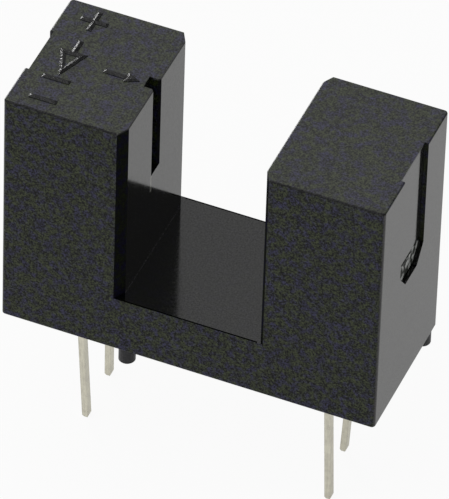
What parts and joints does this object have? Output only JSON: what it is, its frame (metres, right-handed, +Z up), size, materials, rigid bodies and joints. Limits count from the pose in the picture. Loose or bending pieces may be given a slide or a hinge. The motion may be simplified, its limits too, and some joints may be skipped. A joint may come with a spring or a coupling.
{
  "type": "photo interrupter",
  "caption": "Slotted optical switch: a U-shaped black housing holds an infrared LED and a phototransistor that face each other across the slot.",
  "frame": {"origin": "centre of the housing's flat bottom face, which seats on the circuit board", "axes": "+X along the light beam from the infrared LED's tower to the phototransistor's tower, +Y across the beam to the back, +Z up out of the board; the leads point to -Z"},
  "size_m": [0.0138, 0.0058, 0.0152],
  "materials": {
    "housing": "black moulded plastic, finely textured outside and smooth in the slot",
    "clear_epoxy": "clear cast epoxy, polished lens",
    "smoky_epoxy": "smoky cast epoxy, polished lens",
    "tinned_lead": "satin tin plating",
    "chip": "polished semiconductor",
    "bond_wire": "drawn gold wire"
  },
  "bodies": {
    "root": {"housing": "housing", "infrared_led_package": "clear_epoxy", "cathode_lead": "tinned_lead", "anode_lead": "tinned_lead", "infrared_led_chip": "chip", "infrared_led_bond_wire": "bond_wire", "phototransistor_package": "smoky_epoxy", "collector_lead": "tinned_lead", "emitter_lead": "tinned_lead", "phototransistor_chip": "chip", "phototransistor_bond_wire": "bond_wire"}
  },
  "joints": []
}
